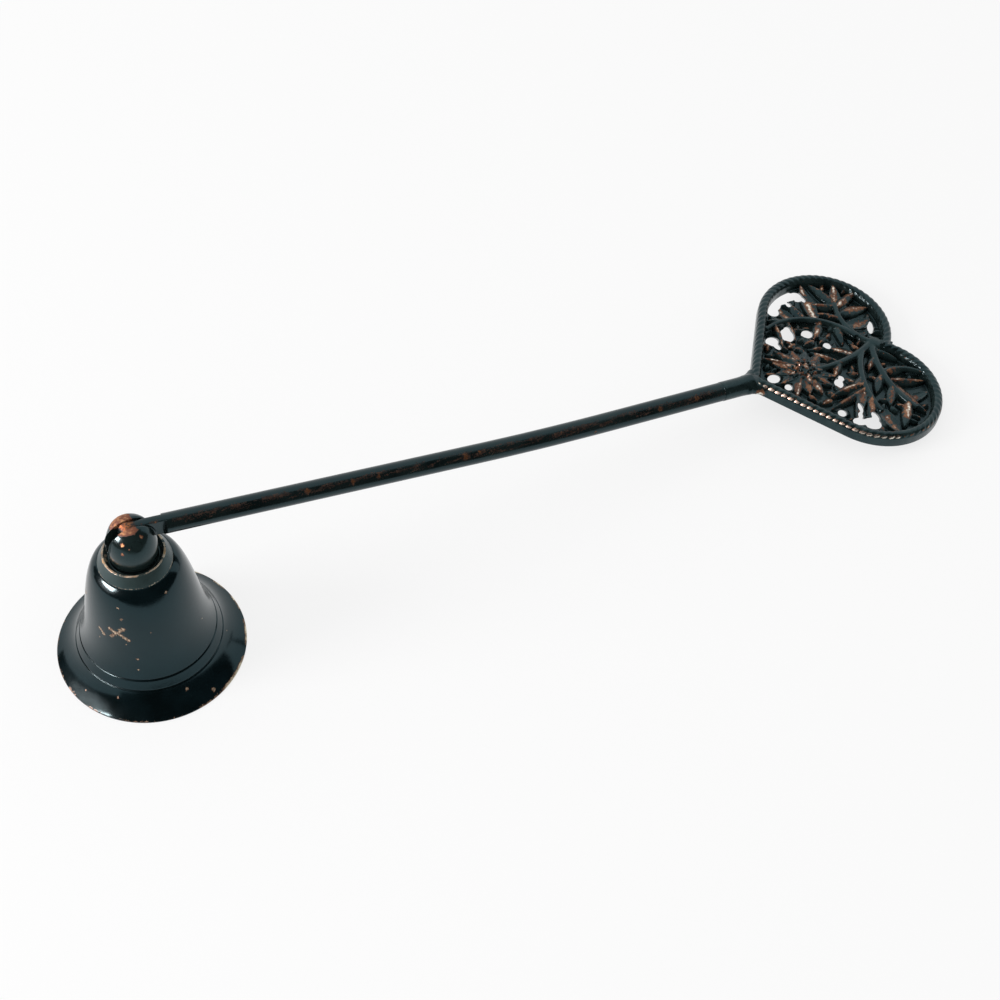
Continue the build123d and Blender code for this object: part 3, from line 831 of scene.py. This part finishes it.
# A leaf or a petal: domed, or hollow where the dome is below zero.
def bladePart(base, tip, width, lift, dome, bend, teeth, grooves=0, rubbed=1.0):
    along = np.linspace(0, 1, heart["bladeRows"])
    across = np.linspace(-1, 1, heart["bladeAcross"])
    length = np.linalg.norm(tip - base)
    ahead = (tip - base) / length
    beside = np.array([-ahead[1], ahead[0]])
    swell = np.sin(pi * along ** 0.8)
    half = width / 2 * swell ** 0.75 + heart["bladeEdge"]
    half = half * (1 + heart["toothDepth"] * (2 * np.abs((along * teeth) % 1 - 0.5) - 0.5))
    middle = base + along[:, None] * length * ahead + (bend * np.sin(pi * along))[:, None] * beside
    flat = middle[:, None, :] + (half[:, None] * across)[..., None] * beside
    edge = np.abs(across)
    height = lift + max(0, -dome) + dome * (1 - edge ** 2)[None, :] * np.sqrt(swell)[:, None]
    if grooves:
        height = height + 2 * heart["veinHeight"] * np.cos(grooves * pi * across)[None, :]
    else:
        vein = np.cos(2 * pi * (along[:, None] * length - 0.9 * half[:, None] * edge) / heart["veinMm"])
        rib = heart["ribHeight"] * np.exp(-(half[:, None] * across / heart["ribHalf"]) ** 2)
        height = height + heart["veinHeight"] * vein * edge[None, :] + rib
    top = np.concatenate([flat, height[..., None]], 2)
    low = np.full(height.shape + (1,), lift - heart["leafThick"])
    under = np.concatenate([flat[:, ::-1], low], 2)
    leafParts.append(tubeMesh(np.concatenate([top, under], 1)))
    samples.extend((point, rubbed * (1.0 - 0.8 * abs(u))) for row in top for point, u in zip(row, across))
    samples.extend((point, 0.0) for row in under[::3] for point in row[::3])


rng = np.random.default_rng(11)
for base, tip, width in leaves:
    lift = rng.uniform(0.0, 0.45)
    dome = rng.choice([0.95, 0.8, 1.05, -0.55])
    bend = rng.uniform(-0.5, 0.5)
    teeth = rng.integers(5, 8)
    rubbed = rng.choice([0.6, 0.9, 1.15])
    wide = heart["leafShare"] * width * heartLength
    bladePart(heartPoint(base), heartPoint(tip), wide, lift, dome, bend, teeth, rubbed=rubbed)

petalRings = [  # how many petals, where they start and end from the middle, width, height
    (13, 2.4, 8.6, 3.0, 0.35),
    (9, 1.2, 5.2, 2.3, 0.9),
]
flowerCentre = heartPoint(heart["flower"])
for ring, (count, inner, outer, width, lift) in enumerate(petalRings):
    for number in range(count):
        angle = 2 * pi * (number + 0.5 * ring) / count + rng.uniform(-0.06, 0.06)
        way = np.array([cos(angle), sin(angle)])
        tip = flowerCentre + rng.uniform(0.92, 1.05) * outer * way
        dome = rng.uniform(0.35, 0.6)
        rubbed = 1.05 if cos(angle) < 0.2 else 0.7  # the side towards the handle is rubbed more
        bladePart(flowerCentre + inner * way, tip, width, lift, dome, 0, teeth=1, grooves=4, rubbed=rubbed)


def blob(centre, size, squash=1.0, around=20):  # a round lump
    turn = np.linspace(0, 2 * pi, around, endpoint=False)
    tilt = np.linspace(-pi / 2 + 0.05, pi / 2 - 0.05, around // 2)
    rows = [np.stack([centre[0] + size * cos(t) * np.cos(turn), centre[1] + size * cos(t) * np.sin(turn),
                      np.full(around, centre[2] + squash * size * sin(t))], 1) for t in tilt]
    return tubeMesh(rows)


addPart(*blob((*flowerCentre, 0.2), 3.0, 0.55), 0.4)
for number in range(heart["stamens"]):  # set in a sunflower spiral
    reach, angle = heart["stamenStep"] * sqrt(number + 0.3), heart["stamenTurn"] * number
    x, y = flowerCentre[0] + reach * cos(angle), flowerCentre[1] + reach * sin(angle)
    bead = blob((x, y, 1.9 - 0.05 * reach ** 2), heart["stamenRadius"], around=12)
    addPart(*bead, 0.95 if number % 3 == 0 else 0.25)
rootPoint = heartPoint(heart["root"])
addPart(*blob((*rootPoint, 0.1), heart["rootRadius"], 0.6), 0.05)
addPart(*blob((*(rootPoint + heart["sideRoot"]), 0.0), heart["sideRootRadius"], 0.6), 0.05)


def inOpening(points):  # whether each point lies in one of the holes
    inside = np.zeros(len(points), bool)
    for x, y, a, b, turn in openings:
        ahead = np.array([cos(radians(turn)), sin(radians(turn))])
        away = points - [x, y] - np.array(heart["holeShift"])
        inside |= (away @ ahead / a) ** 2 + (away @ [-ahead[1], ahead[0]] / b) ** 2 < 1
    return inside


def fillGaps():  # small leaves in the lower layer, from what is there into each gap that isn't a hole
    step, shift = heart["fillStep"], np.array(heart["sightShift"])
    far, near = (rimLine(heart["rimWidth"], side, heart["borderStep"]) for side in (1, -1))
    border = np.concatenate([far, near[::-1]])
    grid = np.array([(x, y) for x in np.arange(heart["fillStart"], heartLength, step)
                     for y in np.arange(-heartHalf, heartHalf, step)])
    ahead = np.roll(border, -1, axis=0) - border
    crossings = np.zeros(len(grid), int)
    for (x, y), (dx, dy) in zip(border, ahead):
        spans = (grid[:, 1] - y) * (grid[:, 1] - y - dy) <= 0
        if dy:
            crossings += spans & (x + (grid[:, 1] - y) * dx / dy > grid[:, 0])
    grid = grid[(crossings % 2 == 1) & ~inOpening(grid)]
    solid = np.array([point[:2] + point[2] * shift for point, _ in samples])
    known = KDTree(len(solid))
    for i, point in enumerate(solid):
        known.insert((*point, 0), i)
    known.balance()
    found = [known.find((*cell, 0)) for cell in grid]
    near = np.array([gap for _, _, gap in found])
    nearest = np.array([point[:2] for point, _, _ in found])
    count = 0
    while near.max() > heart["fillGap"] and count < heart["fillCount"]:
        i = near.argmax()
        way = (grid[i] - nearest[i]) / near[i]
        base, tip = nearest[i] - 0.6 * way, grid[i] + 0.7 * way
        width = np.clip(0.62 * np.linalg.norm(tip - base), 1.5, 2.6)
        spine = base + np.linspace(0.15, 1, 9)[:, None] * (tip - base)
        beside = np.array([-way[1], way[0]])
        sides = np.array([p + w * width * beside for p in spine for w in (-0.4, 0, 0.4)])
        lift = rng.uniform(-0.55, -0.1)
        dome = rng.uniform(0.4, 0.8)
        bend = rng.uniform(-0.2, 0.2)
        teeth = rng.integers(3, 6)
        bladePart(base, tip, width, lift, dome, bend, teeth, rubbed=rng.choice([0.2, 0.6, 0.9]))
        gaps = np.hypot(grid[:, None, 0] - sides[:, 0], grid[:, None, 1] - sides[:, 1])
        closer = gaps.min(axis=1) < near
        near[closer] = gaps.min(axis=1)[closer]
        nearest[closer] = sides[gaps.argmin(axis=1)][closer]
        near[i] = 0
        count += 1
    return count


print("leaves filled in:", fillGaps())


neck = dict(around=40, skin=0.08, spigotGap=0.05, spigotRoom=0.4, below=0.6, top=2.7)
fillet = dict(count=6, along=(-0.9, 3.6), across=(0.9, 1.9), curve=1.6, radius=(2.15, 0.5), squash=0.95)


def neckPart():  # the socket for the rod's spigot, which swells into the tip of the heart
    turn = np.linspace(0, 2 * pi, neck["around"], endpoint=False)
    rod, hole = handle["rodRadius"] + neck["skin"], handle["spigotRadius"] + neck["spigotGap"]
    length = handle["neckLength"]
    depth = handle["spigotLength"] + neck["spigotRoom"] - length
    profile = [  # distance from the heart's tip, radius
        (depth, 0.02), (depth, hole), (-length, hole), (-length, rod), (-3.0, rod), (-1.2, rod + 0.1),
        (0.6, rod + 0.2), (2.6, 2.1), (2.9, 0.02),
    ]
    rows = []
    for along, radius in profile:
        height = np.clip(radius * np.sin(turn), -heart["rimHalf"] - neck["below"], neck["top"])
        rows.append(np.stack([np.full_like(turn, along), radius * np.cos(turn), height], 1))
    return tubeMesh(rows)


addPart(*neckPart(), 0.1, rimParts)
for side in (1, -1):  # fillets between the neck and the sides
    for share in np.linspace(0, 1, fillet["count"]):
        along = fillet["along"][0] + fillet["along"][1] * share
        across = fillet["across"][0] + fillet["across"][1] * share ** fillet["curve"]
        radius = fillet["radius"][0] - fillet["radius"][1] * share
        addPart(*blob((along, side * across, 0.0), radius, fillet["squash"]), 0.1, rimParts)
print("heart parts:", len(rimParts) + len(leafParts), "with", len(samples), "points")


def webPart():  # the thin sheet that closes the gaps between the leaves
    far, near = (rimLine(0.6 * heart["rimWidth"], side, heart["webStep"]) for side in (1, -1))
    border = np.concatenate([far, near[::-1][1:-1]])
    levels = heart["webLow"], heart["webTop"]
    return tubeMesh([np.column_stack([border, np.full(len(border), z)]) for z in levels])


def holeParts():  # the holes as prisms that lean along the line of sight
    turn = np.linspace(0, 2 * pi, heart["holeAround"], endpoint=False)
    levels = heart["holeLow"], heart["holeTop"]
    parts = []
    for x, y, a, b, lean in openings:
        ahead = np.array([cos(radians(lean)), sin(radians(lean))])
        ring = a * np.cos(turn)[:, None] * ahead + b * np.sin(turn)[:, None] * [-ahead[1], ahead[0]]
        ring = ring + [x, y] + np.array(heart["holeShift"])
        shift = np.array(heart["sightShift"])
        parts.append(tubeMesh([np.column_stack([ring - z * shift, np.full_like(turn, z)]) for z in levels]))
    return parts


def joined(name, parts):  # one object from parts in the heart's own axes
    verts, faces, count = [], [], 0
    for points, partFaces in parts:
        verts.append(points)
        faces += [[i + count for i in face] for face in partFaces]
        count += len(points)
    piece = bpy.data.objects.new(name, newMesh(name, np.concatenate(verts) @ heartFrame + tipPoint, faces))
    bpy.context.scene.collection.objects.link(piece)
    return piece


def fused(piece, voxel):  # overlapping parts made one skin
    remesh = piece.modifiers.new("cast", "REMESH")
    remesh.mode = "VOXEL"
    remesh.voxel_size = voxel * mm


def castHeart():  # leafwork with its holes, joined to the rim in one skin with soft creases
    holes = joined("heartHoles", holeParts())
    fused(holes, heart["holeVoxelMm"])
    applied(holes)
    leafwork = joined("heartLeafwork", leafParts + [webPart()])
    fused(leafwork, heart["voxelMm"])
    cut = leafwork.modifiers.new("holes", "BOOLEAN")
    cut.object = holes
    cut.solver = "MANIFOLD"
    applied(leafwork)
    piece = joined("heartBlank", rimParts)
    both = bmesh.new()
    both.from_mesh(piece.data)
    both.from_mesh(leafwork.data)
    both.to_mesh(piece.data)
    both.free()
    fused(piece, heart["voxelMm"])
    smooth = piece.modifiers.new("soft", "SMOOTH")
    smooth.factor = 0.5
    smooth.iterations = heart["smoothing"]
    mesh = applied(piece)
    triangles = sum(len(p.vertices) - 2 for p in mesh.polygons)
    thin = piece.modifiers.new("thin", "DECIMATE")
    thin.ratio = min(1.0, heart["faces"] / triangles)
    mesh = applied(piece)
    for part in (piece, leafwork, holes):
        bpy.data.objects.remove(part)
    return mesh


heartMesh = castHeart()
sampleTree = KDTree(len(samples))
for i, (point, rubbed) in enumerate(samples):
    sampleTree.insert(point, i)
sampleTree.balance()
coords = np.empty(len(heartMesh.vertices) * 3)
heartMesh.vertices.foreach_get("co", coords)
local = (coords.reshape(-1, 3) / mm - tipPoint) @ heartFrame.T
rubbedTopAndGlints = np.zeros(len(local), np.float32)
for i, point in enumerate(local):
    rubbedTopAndGlints[i] = np.mean([samples[k][1] for _, k, _ in sampleTree.find_n(point, 4)])
# the rubbed attribute carries the copper wear and, on the rope, the painted highlight dashes
heartMesh.attributes.new("rubbed", "FLOAT", "POINT").data.foreach_set("value", rubbedTopAndGlints)
# antiqued casting: black-green hollows and leaves rubbed to red copper, with painted highlights: near-white
# dashes along the rope
heartLook = dict(
    lacquer, dark="#0d1515", light="#1f2a29", rough=0.25, wornRough=0.36, bump=0.2, level=0.5, ragged=0.45,
    # brass here is near white: a painted highlight colour, reached by the rope dashes and the most rubbed
    # leaf crests
    copper="#5e3a28", paleCopper="#8a6044", brass="#f6efe0",
    mottleMm=4.0, grainMm=0.7, peelMm=0.5, patchMm=3.5, tipPatch=((1.5, -3.4, -0.6), 2.2),
    dashFrom=(1.3, 1.9), dashBright=1.7, edgeFrom=(0.57, 0.66), edgeBright=0.7,
)


def heartWornAndGlints(tree, place, normal):
    rubbed = put(tree, "Attribute", attribute_name="rubbed").outputs["Fac"]
    run = clouds(tree, place, heartLook["patchMm"], (0.36, 0.6), (0.3, 1.0), detail=3.0)
    copper = put(tree, "Math", {0: rubbed, 1: run}, operation="MULTIPLY").outputs[0]
    # painted highlights: the rope's dash values lift the mask into the near-white colour
    least, full = heartLook["dashFrom"]
    dashes = put(tree, "MapRange", {0: rubbed, 1: least, 2: full, 4: heartLook["dashBright"]}).outputs[0]
    point = put(tree, "NewGeometry").outputs["Pointiness"]
    least, full = heartLook["edgeFrom"]
    edge = put(tree, "MapRange", {0: point, 1: least, 2: full, 4: heartLook["edgeBright"]}).outputs[0]
    middle, size = heartLook["tipPatch"]
    patch = spots(tree, place, [(tuple(np.array(middle) @ heartFrame + tipPoint), size)])
    return strongest(tree, copper, dashes, edge, patch)


heartLacquer = lacquerFinish("cast_brass_antique_black", heartLook, heartWornAndGlints)
newPiece("heartGrip", heartMesh, "heart_grip", "handle", heartLacquer, sharpAngle=180)
print("heart cast:", len(heartMesh.polygons), "faces")


# Studio: pale floor, white surroundings, a soft lamp at the left and a dark screen in front

studio = dict(floorHalf=12.0, shadowShare=0.25, worldLight=0.75, screenDistance=0.115,
              screenLeft=-0.2, screenRight=0.5, wingBack=0.25, wingLow=0.045, screenTop=0.5,
              flag=(-0.07, 0.05, 0.028, 0.065))  # place in front of the glint lamp, half width, low, high
# name, middle, what it points at, width, height, watts, colour, lights matt surfaces, seen in reflections
lamps = [
    ("softKey", (-0.80, 0.15, 0.45), (0.05, 0, 0.02), 0.4, 0.4, 5.0, "#ffffff", True, False),
    ("windowGlint", (-0.121, 0.008, 0.100), (0, 0, 0.045), 0.068, 0.068, 1.2, "#ffd8d0", False, True),
]


def seenDirectly(tree):  # 1 for what the camera, a mirror or glass sees
    path = put(tree, "LightPath").outputs
    return strongest(tree, path["Is Camera Ray"], path["Is Glossy Ray"], path["Is Transmission Ray"])


def flatPanel(name, corners, material):
    panel = bpy.data.objects.new(name, bpy.data.meshes.new(name))
    panel.data.from_pydata(corners, [], [(0, 1, 2, 3)])
    panel.data.materials.append(material)
    bpy.context.scene.collection.objects.link(panel)
    return panel


def floorMaterial():  # matt white paper, lit from within enough to stay white under a faint shadow
    material, tree = blankMaterial("pale_paper_floor")
    paper = put(tree, "BsdfDiffuse", {"Color": linear("#f4f4f4")})
    glow = put(tree, "Emission", {"Color": (1, 1, 1, 1), "Strength": 1.0})
    glowing = 1 - studio["shadowShare"]
    share = put(tree, "Math", {0: seenDirectly(tree), 1: glowing}, operation="MULTIPLY").outputs[0]
    both = put(tree, "MixShader", {0: share, 1: paper.outputs[0], 2: glow.outputs[0]})
    put(tree, "OutputMaterial", {0: both.outputs[0]})
    return material


def screenMaterial():  # black felt, which gives the lacquer its dark reflections
    material, tree = blankMaterial("dark_cloth_screen")
    cloth = put(tree, "BsdfDiffuse", {"Color": linear("#101416")})
    put(tree, "OutputMaterial", {0: cloth.outputs[0]})
    return material


wide = studio["floorHalf"]
floorCorners = [(-wide, -wide, 0), (wide, -wide, 0), (wide, wide, 0), (-wide, wide, 0)]
flatPanel("floor", floorCorners, floorMaterial())
near, left, right = -studio["screenDistance"], studio["screenLeft"], studio["screenRight"]
cloth = screenMaterial()
top, back, wing = studio["screenTop"], studio["wingBack"], studio["wingLow"]
flagX, flagY, flagLow, flagHigh = studio["flag"]
panels = {
    "frontScreen": [(left, near, 0), (right, near, 0), (right, near, top), (left, near, top)],
    "topScreen": [(left, near, top), (right, near, top), (right, 0.0, top), (left, 0.0, top)],
    "leftScreen": [(left, near, wing), (left, back, wing), (left, back, top), (left, near, top)],
    "lampFlag": [(flagX, -flagY, flagLow), (flagX, flagY, flagLow), (flagX, flagY, flagHigh),
                 (flagX, -flagY, flagHigh)],
}
screens = [flatPanel(name, corners, cloth) for name, corners in panels.items()]
for screen in screens:  # they show in reflections alone
    screen.visible_camera = False
    screen.visible_diffuse = False
    screen.visible_shadow = False
    screen.visible_transmission = False

world = bpy.data.worlds.new("white_surroundings")
bpy.context.scene.world = world
world.use_nodes = True
skyTree = world.node_tree
skyTree.nodes.clear()
level = put(skyTree, "MapRange", {0: seenDirectly(skyTree), 3: studio["worldLight"], 4: 1.0}).outputs[0]
sky = put(skyTree, "Background", {"Color": (1, 1, 1, 1), "Strength": level})
put(skyTree, "OutputWorld", {0: sky.outputs[0]})

for name, middle, target, width, height, watts, tone, matt, mirrored in lamps:
    light = bpy.data.lights.new(name, "AREA")
    light.shape = "RECTANGLE"
    light.size, light.size_y = width, height
    light.energy = watts
    light.color = linear(tone)[:3]
    lamp = bpy.data.objects.new(name, light)
    lamp.location = middle
    lamp.rotation_euler = (Vector(middle) - Vector(target)).to_track_quat("Z", "Y").to_euler()
    lamp.visible_diffuse = matt
    lamp.visible_glossy = mirrored
    bpy.context.scene.collection.objects.link(lamp)

# Camera: placed so that the bell's mouth, the rod and the heart's outline lie as in the photograph

view = dict(place=(-72.15, -348.93, 509.46), azimuth=-26.05, elevation=52.53, roll=-0.21,
            focalPixels=2419.2, framePixels=1000, sensorMm=36.0)
turnA, turnE, turnR = (radians(view[k]) for k in ("azimuth", "elevation", "roll"))
backward = Vector((sin(turnA) * cos(turnE), -cos(turnA) * cos(turnE), sin(turnE)))
rightward = Vector((cos(turnA), sin(turnA), 0))
upward = backward.cross(rightward)
rolledRight = cos(turnR) * rightward + sin(turnR) * upward
rolledUp = cos(turnR) * upward - sin(turnR) * rightward
lens = bpy.data.cameras.new("photoCamera")
lens.sensor_width = view["sensorMm"]
lens.lens = view["focalPixels"] * view["sensorMm"] / view["framePixels"]
camera = bpy.data.objects.new("photoCamera", lens)
camera.matrix_world = Matrix.Translation(Vector(view["place"]) * mm) \
    @ Matrix((rolledRight, rolledUp, backward)).transposed().to_4x4()
bpy.context.scene.collection.objects.link(camera)
bpy.context.scene.camera = camera
bpy.context.scene.view_settings.view_transform = "Standard"
print("studio and camera set")
